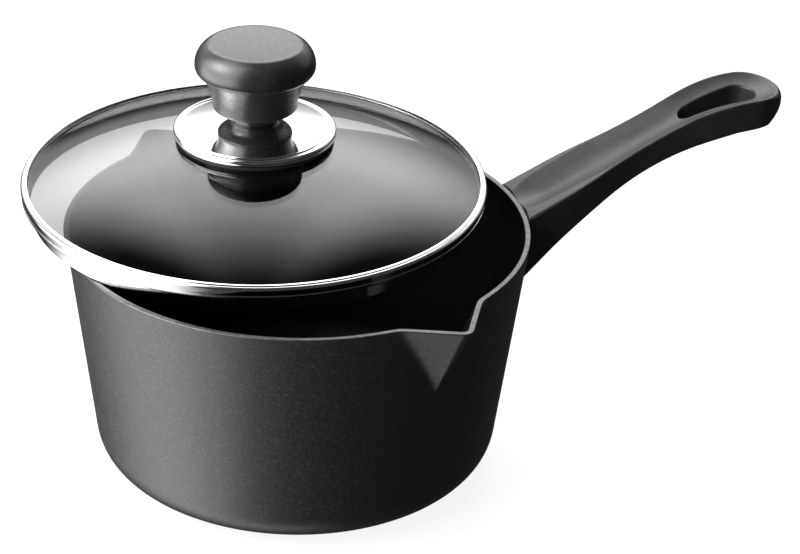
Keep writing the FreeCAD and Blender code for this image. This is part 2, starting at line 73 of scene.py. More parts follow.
CAMERA_DISTANCE = 1121.1
CAMERA_RISE = math.radians(27.332)
CAMERA_YAW = math.radians(2.369)
CAMERA_PITCH = math.radians(28.337)
CAMERA_ROLL = math.radians(1.911)
HANDLE_TURN = math.radians(-15.87)
LENS = 126
SENSOR = 36


def add_camera():
    """A long lens that looks down on the rim; the view is turned about +Z to meet the handle."""
    level = math.cos(CAMERA_PITCH)
    ahead = Vector(
        (math.sin(CAMERA_YAW) * level, math.cos(CAMERA_YAW) * level, -math.sin(CAMERA_PITCH))
    )
    side = ahead.cross(Vector((0, 0, 1))).normalized()
    over = side.cross(ahead)
    across = side * math.cos(CAMERA_ROLL) + over * math.sin(CAMERA_ROLL)
    upward = over * math.cos(CAMERA_ROLL) - side * math.sin(CAMERA_ROLL)
    place = Vector((0, -math.cos(CAMERA_RISE), math.sin(CAMERA_RISE))) * CAMERA_DISTANCE
    place.z += RIM_HEIGHT
    turn = Matrix.Rotation(HANDLE_TURN, 3, "Z")
    pose = Matrix((turn @ across, turn @ upward, turn @ -ahead)).transposed().to_4x4()
    pose.translation = turn @ place * MM
    camera = add_object("camera", bpy.data.cameras.new("camera"))
    camera.matrix_world = pose
    camera.data.lens = LENS
    camera.data.sensor_width = SENSOR
    bpy.context.scene.camera = camera


# ---------------------------------------------------------------- outlines

ARC_STEP = 2.0
ARC_LEAST = 6
BEND_STEPS = 5
SUPPORT = 0.25
SUPPORT_LIMIT = 0.3
TRIM_LIMIT = 0.45


def edge_point(start, end, radius, share):
    """A point on an edge: straight, or the short arc that bulges right of the way along.

    A radius below 0 bulges the other way.
    """
    if not radius:
        return start.lerp(end, share)
    chord = end - start
    side = Vector((-chord.y, chord.x)).normalized() * math.copysign(1, radius)
    centre = start + chord / 2 + side * math.sqrt(max(0, radius**2 - (chord.length / 2) ** 2))
    first, last = start - centre, end - centre
    turn = math.atan2(first.x * last.y - first.y * last.x, first.dot(last)) * share
    return centre + Vector(
        (
            first.x * math.cos(turn) - first.y * math.sin(turn),
            first.x * math.sin(turn) + first.y * math.cos(turn),
        )
    )


def outline(corners, soft=0.2):
    """A smooth closed outline through (across, up, radius, softness) corners.

    The radius bends the edge that leaves its corner, 0 for a straight edge. The softness is how
    far the corner's rounding reaches along its two edges. A corner may leave out both, or the
    softness alone.
    """
    full = [(*corner, 0, soft) if len(corner) == 2 else (*corner, soft)[:4] for corner in corners]
    spots = [Vector(corner[:2]) for corner in full]
    count = len(full)
    lengths = [(spots[(i + 1) % count] - spots[i]).length for i in range(count)]
    points = []
    for i, (_, _, radius, here) in enumerate(full):
        after = (i + 1) % count
        start, end, there = spots[i], spots[after], full[after][3]
        trim_start = min(TRIM_LIMIT, here / lengths[i])
        trim_end = min(TRIM_LIMIT, there / lengths[i])
        clear = 1 - trim_start - trim_end
        nudge = min(SUPPORT_LIMIT, SUPPORT / (lengths[i] * clear)) * clear
        steps = max(ARC_LEAST, int(lengths[i] * clear / ARC_STEP)) if radius else 1
        inner = [
            trim_start + nudge + (clear - 2 * nudge) * k / steps for k in range(steps + 1)
        ]
        shares = [trim_start, *inner, 1 - trim_end]
        points += [edge_point(start, end, radius, share) for share in shares]
        if there > 0:
            onward_trim = min(TRIM_LIMIT, there / lengths[after])
            onward = edge_point(end, spots[(i + 2) % count], full[after][2], onward_trim)
            points += bend(points[-1], end, onward)
    return points


def bend(start, corner, end):
    """Points inside the rounding of a corner."""
    shares = [k / BEND_STEPS for k in range(1, BEND_STEPS)]
    return [start * (1 - t) ** 2 + corner * 2 * t * (1 - t) + end * t * t for t in shares]


# ---------------------------------------------------------------- meshes

TINY = 1e-4
SHADING_WEIGHT = 60


def make_piece(name, points, faces, materials, slots=None):
    """A smooth mesh object from points in millimetres; slots gives each face its material."""
    mesh = bpy.data.meshes.new(name)
    mesh.from_pydata([point * MM for point in points], [], faces)
    for material in materials:
        mesh.materials.append(material)
    if slots:
        mesh.polygons.foreach_set("material_index", slots)
    net = bmesh.new()
    net.from_mesh(mesh)
    bmesh.ops.remove_doubles(net, verts=net.verts, dist=TINY * MM)
    bmesh.ops.dissolve_degenerate(net, edges=net.edges, dist=TINY * MM)
    bmesh.ops.recalc_face_normals(net, faces=net.faces)
    net.to_mesh(mesh)
    net.free()
    mesh.shade_smooth()
    piece = add_object(name, mesh)
    even = piece.modifiers.new("even_shading", "WEIGHTED_NORMAL")
    even.weight = SHADING_WEIGHT
    return piece


def quad_rows(row_count, row_length, closed_rows=False):
    """Quads of a grid of points that is stored row by row, each row a ring."""
    faces = []
    for row in range(row_count if closed_rows else row_count - 1):
        below = (row + 1) % row_count
        for column in range(row_length):
            beside = (column + 1) % row_length
            upper = row * row_length + column, row * row_length + beside
            lower = below * row_length + beside, below * row_length + column
            faces.append(upper + lower)
    return faces


LATHE_STEPS = 192


def lathe(name, corners, material, soft=0.2):
    """A piece turned about the lid's axis; its corners' heights are above the skirt's edge."""
    section = outline(corners, soft)
    turns = [2 * math.pi * k / LATHE_STEPS for k in range(LATHE_STEPS)]
    points = [
        LID_CENTRE + Vector((spot.x * math.cos(turn), spot.x * math.sin(turn), spot.y))
        for spot in section
        for turn in turns
    ]
    faces = quad_rows(len(section), LATHE_STEPS, closed_rows=True)
    return make_piece(name, points, faces, [material])


# ---------------------------------------------------------------- materials

NOISE_LOW, NOISE_HIGH = 0.3, 0.7


class Look:
    """A procedural material: a Principled shader that varies with the piece's own coordinates."""

    def __init__(self, name, **sockets):
        self.material = bpy.data.materials.new(name)
        self.material.use_nodes = True
        self.tree = self.material.node_tree
        self.shader = self.tree.nodes["Principled BSDF"]
        for socket, value in sockets.items():
            self.shader.inputs[socket.replace("_", " ")].default_value = value
        self.place = self.tree.nodes.new("ShaderNodeTexCoord").outputs["Object"]

    def link(self, source, target):
        self.tree.links.new(source, target)

    def noise(self, grain_mm, detail=3, stretch=(1, 1, 1)):
        """Noise with grains of about this size."""
        place = self.tree.nodes.new("ShaderNodeMapping")
        place.inputs["Scale"].default_value = stretch
        self.link(self.place, place.inputs["Vector"])
        node = self.tree.nodes.new("ShaderNodeTexNoise")
        node.inputs["Scale"].default_value = 1 / (grain_mm * MM)
        node.inputs["Detail"].default_value = detail
        self.link(place.outputs["Vector"], node.inputs["Vector"])
        return node.outputs["Fac"]

    def flecks(self, grain_mm):
        """Cells of about this size, each with its own value."""
        node = self.tree.nodes.new("ShaderNodeTexVoronoi")
        node.inputs["Scale"].default_value = 1 / (grain_mm * MM)
        self.link(self.place, node.inputs["Vector"])
        part = self.tree.nodes.new("ShaderNodeSeparateColor")
        self.link(node.outputs["Color"], part.inputs["Color"])
        return part.outputs["Red"]

    def colour_by(self, source, stops):
        """Base colour from a ramp of (position, colour) stops."""
        node = self.tree.nodes.new("ShaderNodeValToRGB")
        ramp = node.color_ramp
        while len(ramp.elements) < len(stops):
            ramp.elements.new(0.5)
        for element, (position, colour) in zip(ramp.elements, stops):
            element.position = position
            element.color = (*colour, 1)
        self.link(source, node.inputs["Fac"])
        self.link(node.outputs["Color"], self.shader.inputs["Base Color"])

    def roughness_by(self, source, low, high):
        """Roughness that follows a noise from low to high."""
        node = self.tree.nodes.new("ShaderNodeMapRange")
        ends = (NOISE_LOW, NOISE_HIGH, low, high)
        for socket, value in zip(("From Min", "From Max", "To Min", "To Max"), ends):
            node.inputs[socket].default_value = value
        self.link(source, node.inputs["Value"])
        self.link(node.outputs["Result"], self.shader.inputs["Roughness"])

    def bump(self, source, height_mm):
        """Relief of this height."""
        node = self.tree.nodes.new("ShaderNodeBump")
        node.inputs["Strength"].default_value = 1
        node.inputs["Distance"].default_value = height_mm * MM
        self.link(source, node.inputs["Height"])
        self.link(node.outputs["Normal"], self.shader.inputs["Normal"])


def grey(level, blue=1.0):
    return (level, level, level * blue)


def speckled_coating():
    look = Look("speckled_coating", Specular_IOR_Level=0.8)
    plain, fleck = grey(0.016, 1.04), grey(0.06, 1.02)
    stops = [(0.0, grey(0.012)), (0.5, plain), (0.86, grey(0.024)), (1.0, fleck)]
    look.colour_by(look.flecks(0.45), stops)
    look.roughness_by(look.noise(1.2), 0.36, 0.46)
    look.bump(look.noise(0.5), 0.01)
    return look.material


def lining_with_painted_shade():
    # The lining is far darker than the outer coating. Part of that is its own black non-stick
    # finish; the rest is painted shade for the inside of the pan.
    look = Look("lining_with_painted_shade", Specular_IOR_Level=0.12)
    stops = [(0.0, grey(0.001)), (0.8, grey(0.0015)), (1.0, grey(0.003))]
    look.colour_by(look.flecks(0.6), stops)
    look.roughness_by(look.noise(1.5), 0.38, 0.46)
    look.bump(look.noise(0.8), 0.0005)
    return look.material


def ground_rim():
    look = Look("ground_rim", Metallic=1, Roughness=0.42)
    look.colour_by(look.noise(2.5), [(NOISE_LOW, grey(0.08)), (NOISE_HIGH, grey(0.13))])
    look.bump(look.noise(0.3), 0.004)
    return look.material


def moulded(name, level, roughness, grain_mm, relief_mm, sheen=0.5):
    """Moulded phenolic with a satin, faintly grained skin."""
    look = Look(name, Specular_IOR_Level=sheen)
    dark, light = grey(level * 0.8, 1.04), grey(level * 1.25, 1.04)
    look.colour_by(look.noise(6), [(NOISE_LOW, dark), (NOISE_HIGH, light)])
    look.roughness_by(look.noise(1.8), roughness - 0.05, roughness + 0.06)
    look.bump(look.noise(grain_mm, detail=5), relief_mm)
    return look.material


def polished(name, level, roughness):
    look = Look(name, Base_Color=(*grey(level, 1.01), 1), Metallic=1)
    look.roughness_by(look.noise(9), roughness * 0.7, roughness * 1.5)
    look.bump(look.noise(14, detail=1), 0.004)
    return look.material


def machined(name, colour, roughness):
    look = Look(name, Base_Color=(*colour, 1), Metallic=1)
    look.roughness_by(look.noise(0.8), roughness - 0.06, roughness + 0.08)
    look.bump(look.noise(0.25, stretch=(0.2, 0.2, 1)), 0.01)
    return look.material


def rubbery():
    look = Look("silicone", Base_Color=(*grey(0.02), 1))
    look.roughness_by(look.noise(1.5), 0.48, 0.62)
    look.bump(look.noise(0.6), 0.01)
    return look.material


def clear_glass():
    """Faintly grey glass that lets lamp light straight through to what it covers."""
    tint = (0.42, 0.43, 0.43, 1)
    look = Look("clear_glass", Base_Color=tint, Roughness=0, Transmission_Weight=1, IOR=1.52)
    add, surface = look.tree.nodes.new, look.tree.nodes["Material Output"].inputs["Surface"]
    shadow = add("ShaderNodeLightPath").outputs["Is Shadow Ray"]
    through = add("ShaderNodeBsdfTransparent")
    through.inputs["Color"].default_value = (0.9, 0.92, 0.92, 1)
    mix = add("ShaderNodeMixShader")
    look.link(shadow, mix.inputs[0])
    look.link(look.shader.outputs[0], mix.inputs[1])
    look.link(through.outputs[0], mix.inputs[2])
    look.link(mix.outputs[0], surface)
    return look.material


COATING = speckled_coating()
LINING_WITH_PAINTED_SHADE = lining_with_painted_shade()
RIM_METAL = ground_rim()
GRIP = moulded("grip_phenolic", 0.02, 0.38, 0.35, 0.012)
KNOB = moulded("knob_phenolic", 0.025, 0.3, 0.3, 0.004, sheen=0.8)
BOSS = moulded("boss_phenolic", 0.005, 0.45, 0.35, 0.02)
CHROME = polished("polished_steel", 0.78, 0.06)
GLASS = clear_glass()
SILICONE = rubbery()
BRASS = machined("brass", (0.72, 0.53, 0.25), 0.3)
ZINC = machined("zinc_steel", grey(0.6, 1.02), 0.32)

# ---------------------------------------------------------------- pan

RIM_RADIUS = 93
BASE_RADIUS = 80.5
BASE_ROUND = 15.5
FLOOR = 5
FLOOR_RADIUS = 76.9
FLOOR_ROUND = 13
RIM_WALL = 2.3
RIM_EDGE = 0.45
SPOUT_AXES = (math.radians(-69), math.radians(111))
SPOUT_TIP = 109.6
SPOUT_HALF = math.radians(47.6)
SPOUT_DEPTH = 34.5
SPOUT_ROUND = 4.6
SPOUT_INNER_ROUND = 2.6
SPOUT_WALL = 3.25
SPOUT_SWEEP = math.radians(60)
CREASE = 1.1
CREASE_TRIM = 0.02
RIM_SUPPORT = 0.3
ROUND_SUPPORT = 1
SPOUT_MARGIN = 1

# Angles round the pan: (as far off a spout's axis as this, step), in degrees.
TURN_STEPS = ((3.5, 0.14), (17, 0.45), (180, 2.5))
LAST_GAP = math.radians(0.05)
LOW_ROWS, SPOUT_ROWS = 8, 26
BASE_STEPS, FLOOR_STEPS, EDGE_STEPS = 12, 10, 5
BASE_RADII = (0, 20, 40, 60)
FLOOR_RADII = (50, 30, 15, 0)
OUTER_PART, RIM_PART, INNER_PART = 0, 1, 2


def outer_wall(height):
    return BASE_RADIUS + (RIM_RADIUS - BASE_RADIUS) * height / RIM_HEIGHT


def inner_wall(height):
    spread = RIM_RADIUS - RIM_WALL - FLOOR_RADIUS
    return FLOOR_RADIUS + spread * (height - FLOOR) / (RIM_HEIGHT - FLOOR)


def spout_reach(off_axis, height, inset, tip_round):
    """How far a spout's walls stand from the pan's axis, at an angle off the spout's own axis."""
    part = 1 - (RIM_HEIGHT - height) / SPOUT_DEPTH
    off = abs(off_axis)
    if part <= 0 or off > SPOUT_SWEEP:
        return 0
    root = outer_wall(RIM_HEIGHT - SPOUT_DEPTH)
    apex = root + part * (SPOUT_TIP - root) - inset
    tip = part * tip_round
    centre = apex - tip / math.sin(SPOUT_HALF)
    touch = math.atan(tip * math.cos(SPOUT_HALF) / (centre + tip * math.sin(SPOUT_HALF)))
    if off < touch:
        return centre * math.cos(off) + math.sqrt(tip**2 - (centre * math.sin(off)) ** 2)
    return apex / (math.cos(off) + math.sin(off) / math.tan(SPOUT_HALF))


def blended(one, two, softness):
    """The larger of two values, with a soft change from one to the other."""
    return (one + two + math.hypot(one - two, softness)) / 2 if two > 0 else one


def off_spout(turn):
    """The angle from the nearer spout's axis."""
    return min((math.remainder(turn - axis, 2 * math.pi) for axis in SPOUT_AXES), key=abs)


def pan_outer(turn, height):
    wall = outer_wall(height)
    spout = spout_reach(off_spout(turn), height, 0, SPOUT_ROUND)
    return max(wall, blended(wall, spout, CREASE) - CREASE_TRIM)


def pan_inner(turn, height):
    spout = spout_reach(off_spout(turn), height, SPOUT_WALL, SPOUT_INNER_ROUND)
    return blended(inner_wall(height), spout, CREASE)


def pan_turns():
    """Angles round the pan, close together across the spouts."""
    turns = []
    turn = -math.pi
    while turn < math.pi - LAST_GAP:
        turns.append(turn)
        off = math.degrees(abs(off_spout(turn)))
        turn += math.radians(next(step for reach, step in TURN_STEPS if off < reach))
    return turns


def quarter(steps):
    return [math.pi / 2 * k / steps for k in range(steps + 1)]


def fillet_rows(corner_radius, height, fillet, wall_turn, steps):
    """(radius, height) along the rounding between a flat and a wall that leans outward."""
    centre = corner_radius - fillet / math.tan((math.pi / 2 + wall_turn) / 2)
    sweep = math.pi / 2 - wall_turn
    angles = [sweep * k / steps for k in range(steps + 1)]
    return [(centre + fillet * math.sin(a), height + fillet * (1 - math.cos(a))) for a in angles]


def wall_heights(low, high):
    """Heights up a wall, closer together where the spouts are."""
    spout_low = RIM_HEIGHT - SPOUT_DEPTH - SPOUT_MARGIN
    plain = [low + (spout_low - low) * k / LOW_ROWS for k in range(LOW_ROWS)]
    upper = [spout_low + (high - spout_low) * k / SPOUT_ROWS for k in range(SPOUT_ROWS + 1)]
    return plain + upper


def make_pan():
    """The pan's shell as rings.

    They run out across the base, up the outside, over the rim and down to the floor's centre.
    """
    outer_lean = math.atan((RIM_RADIUS - BASE_RADIUS) / RIM_HEIGHT)
    inner_lean = math.atan((RIM_RADIUS - RIM_WALL - FLOOR_RADIUS) / (RIM_HEIGHT - FLOOR))
    base = fillet_rows(BASE_RADIUS, 0, BASE_ROUND, outer_lean, BASE_STEPS)
    floor = fillet_rows(FLOOR_RADIUS, FLOOR, FLOOR_ROUND, inner_lean, FLOOR_STEPS)
    edge = RIM_HEIGHT - RIM_EDGE
    highest = edge - RIM_SUPPORT
    outside = wall_heights(base[-1][1] + ROUND_SUPPORT, highest)
    inside = wall_heights(floor[-1][1] + ROUND_SUPPORT, highest)
    turns = pan_turns()
    rings = []

    def flat_ring(radius, height, part):
        rings.append(([radius] * len(turns), height, part))

    def wall_ring(wall, height, part):
        rings.append(([wall(turn, height) for turn in turns], height, part))

    def rim_ring(wall, angle, inward):
        offset = inward * RIM_EDGE * (1 - math.cos(angle))
        reaches = [wall(turn, edge) + offset for turn in turns]
        rings.append((reaches, edge + RIM_EDGE * math.sin(angle), RIM_PART))

    for radius in (*BASE_RADII, base[0][0] - ROUND_SUPPORT):
        flat_ring(radius, 0, OUTER_PART)
    for radius, height in base:
        flat_ring(radius, height, OUTER_PART)
    for height in (*outside, edge):
        wall_ring(pan_outer, height, OUTER_PART)
    for angle in quarter(EDGE_STEPS)[1:]:
        rim_ring(pan_outer, angle, -1)
    for angle in quarter(EDGE_STEPS)[:0:-1]:
        rim_ring(pan_inner, angle, 1)
    wall_ring(pan_inner, edge, RIM_PART)
    for height in inside[::-1]:
        wall_ring(pan_inner, height, INNER_PART)
    for radius, height in floor[::-1]:
        flat_ring(radius, height, INNER_PART)
    for radius in (floor[0][0] - ROUND_SUPPORT, *FLOOR_RADII):
        flat_ring(radius, FLOOR, INNER_PART)

    points = [
        Vector((reach * math.cos(turn), reach * math.sin(turn), height))
        for reaches, height, _ in rings
        for reach, turn in zip(reaches, turns)
    ]
    faces = quad_rows(len(rings), len(turns))
    slots = [part for _, _, part in rings[1:] for _ in turns]
    piece = make_piece("pan_shell", points, faces, [COATING, RIM_METAL, LINING_WITH_PAINTED_SHADE], slots)
    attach(piece, "pan")
    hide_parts("pan_body")


# ---------------------------------------------------------------- handle

# Places along the grip are distances from the pan's axis; drops and heights are from its rim.
GRIP_START = 84
GRIP_DROP = 4.2
GRIP_RISE = math.radians(26)
GRIP_STRAIGHT = 84
SHOULDER_RADIUS = 80
TAIL_RADIUS = 150
NOSE, NOSE_HEIGHT = 205.38, 34.2
NOSE_WIDE, NOSE_DEEP = 2.4, 4.6
ROOT_DROP = 35.5
BELLY_START, BELLY_DROP = 100, 19.5
BELLY_END, BELLY_HEIGHT, BELLY_RADIUS = 183, 26.2, 165
HEEL, HEEL_HEIGHT = 196, 27.7
GRIP_LENGTH, TAIL_HALF = 205.4, 15.3
# The grip's edge in plan: (place, half width, radius of the edge to the next place or 0).
PLAN = (
    (GRIP_START, 16.8, 0),
    (108, 16.2, 114),
    (126, 14.4, -130),
    (168, 13.7, 153.5),
    (GRIP_LENGTH - TAIL_HALF, TAIL_HALF, 0),
)
WALL_GAP = 0.2
TOP_ROUND = 0.9
LOW_ROUND = 2.8
LIP = 1.1
NOSE_LIP = 3.2
DISH_START = 89
DISH_DEPTH = 3.6
DISH_ROOT_HALF, DISH_ROOT_LENGTH, DISH_FLARE = 11.5, 15, 0.05
SLOT_START, SLOT_END = 161.5, 194.3
SLOT_NARROW, SLOT_WIDE = 4.6, 7.5
SLOT_EDGE = 0.7
SLOT_FIRST, SLOT_LAST = SLOT_START + SLOT_NARROW, SLOT_END - SLOT_WIDE
DISH_SOFT = 0.8
ROOM_SHARE = 0.4
ROOT_FADE = 28
ROOT_PASSES = 3
WALL_STEPS, SLOT_STEPS = 5, 4
MEND = 0.002

STRAIGHT_END = (
    GRIP_START + GRIP_STRAIGHT * math.cos(GRIP_RISE),
    RIM_HEIGHT - GRIP_DROP + GRIP_STRAIGHT * math.sin(GRIP_RISE),
)
PEAK = (
    STRAIGHT_END[0] + SHOULDER_RADIUS * math.sin(GRIP_RISE),
    STRAIGHT_END[1] + SHOULDER_RADIUS * (1 - math.cos(GRIP_RISE)),
)


def arc_height(x, start, end, radius):
    """Height at x of the short arc from start to end, above its chord for a radius > 0."""
    middle = ((start[0] + end[0]) / 2, (start[1] + end[1]) / 2)
    run, rise = end[0] - start[0], end[1] - start[1]
    chord = math.hypot(run, rise)
    back = math.sqrt(radius**2 - (chord / 2) ** 2)
    sign = math.copysign(1, radius)
    centre = (middle[0] + sign * rise / chord * back, middle[1] - sign * run / chord * back)
    return centre[1] + sign * math.sqrt(max(0, radius**2 - (x - centre[0]) ** 2))


def line_height(x, start, end):
    return start[1] + (x - start[0]) * (end[1] - start[1]) / (end[0] - start[0])


def grip_top(x):
    if x <= STRAIGHT_END[0]:
        return line_height(x, (GRIP_START, RIM_HEIGHT - GRIP_DROP), STRAIGHT_END)
    if x <= PEAK[0]:
        return PEAK[1] - SHOULDER_RADIUS + math.sqrt(SHOULDER_RADIUS**2 - (PEAK[0] - x) ** 2)
    return PEAK[1] - TAIL_RADIUS + math.sqrt(TAIL_RADIUS**2 - (x - PEAK[0]) ** 2)


def grip_belly(x):
    root = (GRIP_START, RIM_HEIGHT - ROOT_DROP)
    start = (BELLY_START, RIM_HEIGHT - BELLY_DROP)
    end = (BELLY_END, RIM_HEIGHT + BELLY_HEIGHT)
    heel = (HEEL, RIM_HEIGHT + HEEL_HEIGHT)
    if x <= start[0]:
        return line_height(x, root, start)
    if x <= end[0]:
        return arc_height(x, start, end, BELLY_RADIUS)
    if x <= heel[0]:
        return line_height(x, end, heel)
    return line_height(x, heel, (NOSE, RIM_HEIGHT + NOSE_HEIGHT))


def grip_half(x):
    """Half the grip's width in plan."""
    if x >= PLAN[-1][0]:
        return math.sqrt(max(0, TAIL_HALF**2 - (x - PLAN[-1][0]) ** 2))
    for (x0, half0, radius), (x1, half1, _) in zip(PLAN, PLAN[1:]):
        if x <= x1:
            if radius:
                return arc_height(x, (x0, half0), (x1, half1), radius)
            return line_height(x, (x0, half0), (x1, half1))


def slot_gap(x, y):
    """Distance in plan from the hanging slot's edge, negative inside the slot."""
    if x <= SLOT_FIRST:
        return math.hypot(x - SLOT_FIRST, y) - SLOT_NARROW
    if x >= SLOT_LAST:
        return math.hypot(x - SLOT_LAST, y) - SLOT_WIDE
    slope = (SLOT_WIDE - SLOT_NARROW) / (SLOT_LAST - SLOT_FIRST)
    return (abs(y) - SLOT_NARROW - slope * (x - SLOT_FIRST)) / math.hypot(1, slope)


def slot_half(x):
    """Half the slot's width at x, 0 outside the slot."""
    if x <= SLOT_FIRST:
        return math.sqrt(max(0, SLOT_NARROW**2 - (x - SLOT_FIRST) ** 2))
    if x >= SLOT_LAST:
        return math.sqrt(max(0, SLOT_WIDE**2 - (x - SLOT_LAST) ** 2))
    return line_height(x, (SLOT_FIRST, SLOT_NARROW), (SLOT_LAST, SLOT_WIDE))


def edge_gap(x, y):
    """Distance in plan in from the grip's outline."""
    nose = PLAN[-1][0]
    if x > nose:
        return TAIL_HALF - math.hypot(x - nose, y)
    return grip_half(x) - abs(y)


def rounding(gap, radius, depth=None):
    """How far a rounded edge falls away this near to its outline."""
    near = min(max(1 - gap / radius, 0), 1)
    return (depth or radius) * (1 - math.sqrt(1 - near * near))


def soft_least(one, two, softness):
    """The smaller of two values, with a soft change from one to the other."""
    near = max(softness - abs(one - two), 0) / softness
    return min(one, two) - near * near * softness / 4


def nose_share(x, y):
    """1 at the nose's tip, falling to 0 where the round tail meets the sides."""
    ahead = x - PLAN[-1][0]
    return ahead * ahead / (ahead * ahead + y * y) if ahead > 0 else 0


def dish_gap(x, y):
    """Distance in plan in from the dish's edge: round at the root, a lip round the tail."""
    centre = DISH_START + DISH_ROOT_LENGTH
    if x < centre:
        return DISH_ROOT_HALF - math.hypot((x - centre) * DISH_ROOT_HALF / DISH_ROOT_LENGTH, y)
    side = DISH_ROOT_HALF + DISH_FLARE * (x - centre) - abs(y)
    lip = LIP + (NOSE_LIP - LIP) * nose_share(x, y)
    return soft_least(side, edge_gap(x, y) - lip, DISH_SOFT)


def top_surface(x, y):
    """Height of the grip's top: dished inside a lip, with rounded edges and a deeper nose."""
    middle = max(DISH_ROOT_HALF, grip_half(min(x, PLAN[-1][0])) - LIP)
    share = min(max(dish_gap(x, y) / middle, 0), 1)
    dish = DISH_DEPTH * (1 - (1 - share) ** 2)
    nose = nose_share(x, y)
    wide = TOP_ROUND + (NOSE_WIDE - TOP_ROUND) * nose
    deep = TOP_ROUND + (NOSE_DEEP - TOP_ROUND) * nose
    edge = rounding(edge_gap(x, y), wide, deep)
    return grip_top(x) - dish - edge - rounding(slot_gap(x, y), SLOT_EDGE)


def low_surface(x, y, room):
    """Height of the grip's underside, its edges rounded as far as the room allows."""
    radius = min(LOW_ROUND, room)
    return grip_belly(x) + rounding(edge_gap(x, y), radius) + rounding(slot_gap(x, y), SLOT_EDGE)


def evenly(share):
    return share


def ease_in(share):
    return 1 - math.cos(math.pi / 2 * share)


def ease_out(share):
    return math.sin(math.pi / 2 * share)


# Stretches of the grip: (start, number of stations, how they are spread).
STRETCHES = (
    (GRIP_START, 8, evenly),
    (92, 40, evenly),
    (112, 40, evenly),
    (SLOT_START - 2, 8, evenly),
    (SLOT_START, 12, ease_in),
    (SLOT_FIRST, 18, evenly),
    (SLOT_LAST, 16, ease_out),
    (SLOT_END, 6, evenly),
    (SLOT_END + 1.5, 14, evenly),
    (NOSE - 4, 20, ease_out),
)

# Shares of the way out from the slot or the centre line to the outline, close together near both.
SHARES = (
    *(0, 0.012, 0.03, 0.055, 0.085, 0.12, 0.18),
    *(0.18 + 0.64 * k / 9 for k in range(1, 10)),
    *(0.86, 0.89, 0.91, 0.925, 0.94, 0.952, 0.964, 0.975, 0.984, 0.991, 0.996, 1),
)


def grip_stations():
    """Places along the grip, closer together at the root, round the slot and at the nose."""
    ends = [start for start, _, _ in STRETCHES[1:]] + [NOSE]
    stations = [
        start + (end - start) * spread(k / count)
        for (start, count, spread), end in zip(STRETCHES, ends)
        for k in range(count)
    ]
    return stations + [NOSE]


def grip_point(x, y, level, room, side):
    """A point of the grip; its root is pushed along +X until its end lies on the pan's wall.

    The level is "low", "top" or a share of the way up from one to the other.
    """
    fade = max(0, 1 - (x - GRIP_START) / ROOT_FADE)
    place = x
    for _ in range(ROOT_PASSES if fade else 1):
        top, low = top_surface(place, y), low_surface(place, y, room)
        height = low if level == "low" else top if level == "top" else low + (top - low) * level
        if fade:
            wall = math.sqrt((outer_wall(height) + WALL_GAP) ** 2 - y * y)
            place = x + (wall - GRIP_START) * fade
    return Vector((place, side * y, height))


def make_grip():
    """The grip as two mirrored halves of rings.

    Each ring runs out under the grip, up its side, in over the top and down the slot.
    """
    stations = grip_stations()
    low = [(share, "low") for share in SHARES]
    walls = [(1, k / WALL_STEPS) for k in range(1, WALL_STEPS)]
    top = [(share, "top") for share in SHARES[::-1]]
    inner = [(0, 1 - k / SLOT_STEPS) for k in range(1, SLOT_STEPS)]
    ring = low + walls + top + inner
    points = []
    for side in (1, -1):
        for x in stations:
            half, gap = grip_half(x), slot_half(x)
            room = (grip_top(x) - grip_belly(x)) * ROOM_SHARE
            for share, level in ring:
                points.append(grip_point(x, gap + (half - gap) * share, level, room, side))
    faces = []
    for half in range(2):
        start = half * len(stations) * len(ring)
        for row, (first, last) in enumerate(zip(stations, stations[1:])):
            in_slot = SLOT_START < (first + last) / 2 < SLOT_END
            a, b = start + row * len(ring), start + (row + 1) * len(ring)
            for column in range(len(ring) if in_slot else len(ring) - SLOT_STEPS):
                beside = (column + 1) % len(ring)
                faces.append((a + column, a + beside, b + beside, b + column))
    piece = make_piece("grip_shell", points, faces, [GRIP])
    close_holes(piece)
    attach(piece, "pan")
    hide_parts("handle_grip")


def close_holes(piece):
    """Join the two halves of the grip and close its two flat ends."""
    net = bmesh.new()
    net.from_mesh(piece.data)
    bmesh.ops.remove_doubles(net, verts=net.verts, dist=MEND * MM)
    bmesh.ops.holes_fill(net, edges=[edge for edge in net.edges if edge.is_boundary])
    bmesh.ops.recalc_face_normals(net, faces=net.faces)
    net.to_mesh(piece.data)
    net.free()
    piece.data.shade_smooth()


# ---------------------------------------------------------------- lid

GLASS_CROWN, GLASS_CURVE, GLASS_GAUGE = 32.2, 207.2, 3.5
GLASS_HOLLOW = GLASS_CURVE - GLASS_GAUGE
GLASS_RADIUS = 91.9
GLASS_HOLE = 6


def glass_height(radius, curve):
    return GLASS_CROWN - GLASS_CURVE + math.sqrt(curve**2 - radius**2)


def lid_piece(name, corners, material, node, soft=0.2):
    piece = lathe(name, corners, material, soft)
    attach(piece, "lid")
    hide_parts(node)


